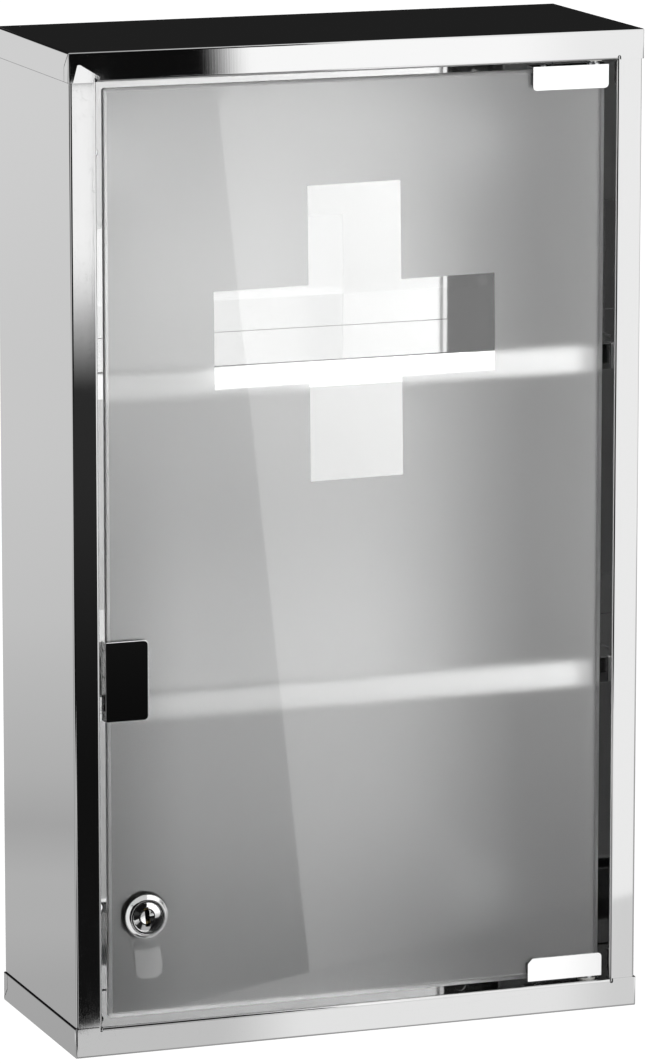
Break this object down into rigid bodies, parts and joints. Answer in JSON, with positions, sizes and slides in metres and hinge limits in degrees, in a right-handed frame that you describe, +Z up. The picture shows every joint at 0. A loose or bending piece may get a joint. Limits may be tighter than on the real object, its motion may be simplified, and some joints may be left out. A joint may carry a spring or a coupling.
{
  "type": "wall cabinet",
  "caption": "Wall-hung mirror-polished steel medicine cabinet with fixed shelves, an inset frosted glass door on pivot hinges, a touch catch and a cam lock.",
  "frame": {"origin": "centre of the four wall holes, on the outer face of the back panel, which stands 0.8 mm off the wall", "axes": "+Z up, -Y out of the front towards the room, +X the viewer's right, where the door is hinged"},
  "size_m": [0.3, 0.12, 0.5],
  "materials": {
    "polished_steel": "polished",
    "chrome_plate": "polished",
    "zinc_plated_steel": "satin",
    "spring_steel": "satin",
    "magnet": "satin",
    "clear_glass": "gloss",
    "frosting": "matte",
    "nylon": "satin",
    "white_plastic": "satin",
    "soft_liner": "matte"
  },
  "bodies": {
    "cabinet": {"body_wrap": "polished_steel", "top_cap": "polished_steel", "bottom_cap": "polished_steel", "upper_shelf": "polished_steel", "lower_shelf": "polished_steel", "top_pivot_bush": "nylon", "bottom_pivot_bush": "nylon", "catch_housing": "white_plastic", "catch_spring": "spring_steel", "catch_screws": "zinc_plated_steel"},
    "door": {"glass_pane": "clear_glass", "frost_layer": "frosting", "top_hinge_clip": "chrome_plate", "top_clip_liner": "soft_liner", "top_grub_screws": "zinc_plated_steel", "top_pivot_pin": "zinc_plated_steel", "top_liner_rivet": "zinc_plated_steel", "bottom_hinge_clip": "chrome_plate", "bottom_clip_liner": "soft_liner", "bottom_grub_screws": "zinc_plated_steel", "bottom_pivot_pin": "zinc_plated_steel", "bottom_liner_rivet": "zinc_plated_steel", "push_plate": "chrome_plate", "push_plate_pad": "soft_liner", "lock_housing": "chrome_plate", "lock_gasket": "nylon", "lock_washer": "nylon", "lock_nut": "zinc_plated_steel"},
    "lock_core": {"lock_plug": "chrome_plate", "lock_cam": "zinc_plated_steel", "cam_screw": "zinc_plated_steel"},
    "plunger": {"catch_plunger": "white_plastic", "catch_magnet": "magnet"}
  },
  "joints": [
    {"name": "door_hinge", "type": "hinge", "parent": "cabinet", "child": "door", "pos_m": [0.1254, -0.1122, 0], "axis": [0, 0, 1], "range_deg": [0, 110]},
    {"name": "lock_turn", "type": "hinge", "parent": "door", "child": "lock_core", "pos_m": [-0.1113, -0.1122, -0.171], "axis": [0, 1, 0], "range_deg": [0, 95]},
    {"name": "catch_slide", "type": "slide", "parent": "cabinet", "child": "plunger", "axis": [0, -1, 0], "range_m": [0, 0.01]}
  ],
  "couplings": [
    {"joint": "catch_slide", "follows": "door_hinge", "m_per_rad": 0.0052}
  ]
}
